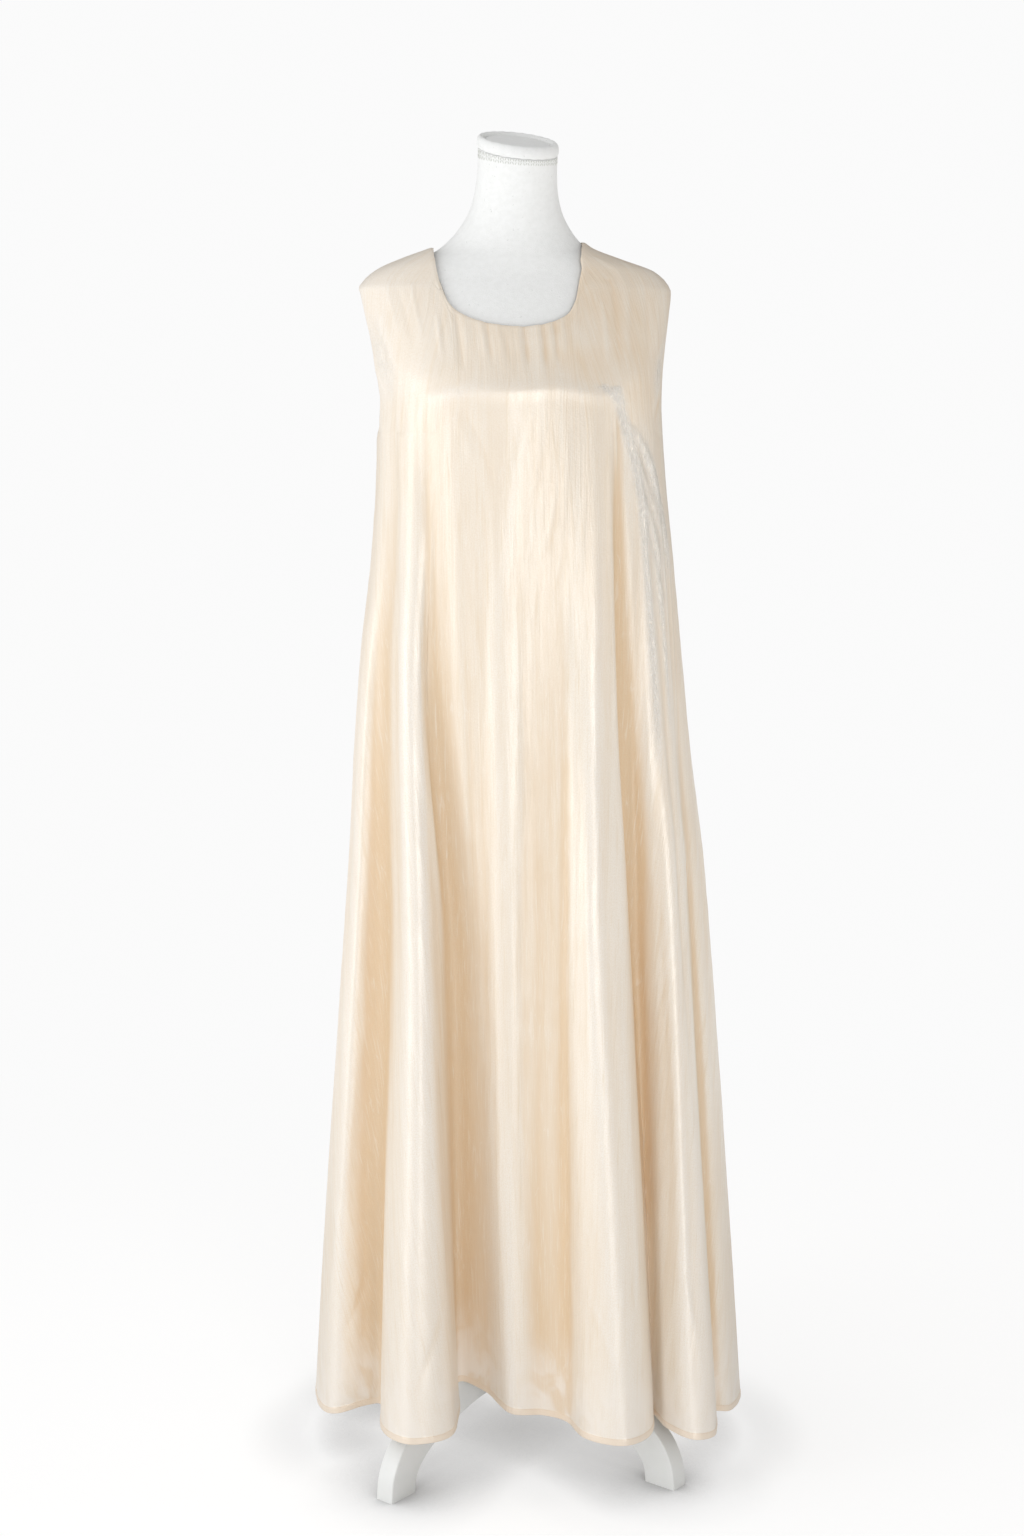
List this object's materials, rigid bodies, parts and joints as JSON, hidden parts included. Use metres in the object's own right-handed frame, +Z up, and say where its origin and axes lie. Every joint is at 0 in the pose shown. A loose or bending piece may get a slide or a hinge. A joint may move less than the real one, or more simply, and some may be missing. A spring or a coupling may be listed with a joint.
{
  "type": "sleeveless slip dress of an abaya set, worn by a limbless dress form on a four-legged stand",
  "caption": "Floor-length sleeveless satin slip dress with a scooped round neck and deep hanging folds, on a limbless dress form and four-legged stand.",
  "frame": {"origin": "on the floor, under the middle of the whole part's outline; the stand's axis is 9.5 mm to the part's left of it and 1 mm behind it", "axes": "+Z up along the stand, +X to the right as seen from the front, +Y to the back, so the dress's front looks along -Y, turned 8 degrees towards the viewer's left"},
  "size_m": [0.5366, 0.4862, 1.6147],
  "materials": {
    "satin": "soft crinkled satin in a warm champagne cream, sheen along the grain",
    "jersey": "white cotton jersey, matt",
    "white_paint": "wood painted satin white"
  },
  "bodies": {
    "root": {"dress_front": "satin", "dress_back": "satin", "form_torso": "jersey", "neck_cap": "jersey", "stand_pole": "white_paint", "stand_hub": "white_paint", "leg_front_left": "white_paint", "leg_front_right": "white_paint", "leg_back_right": "white_paint", "leg_back_left": "white_paint"}
  },
  "joints": []
}
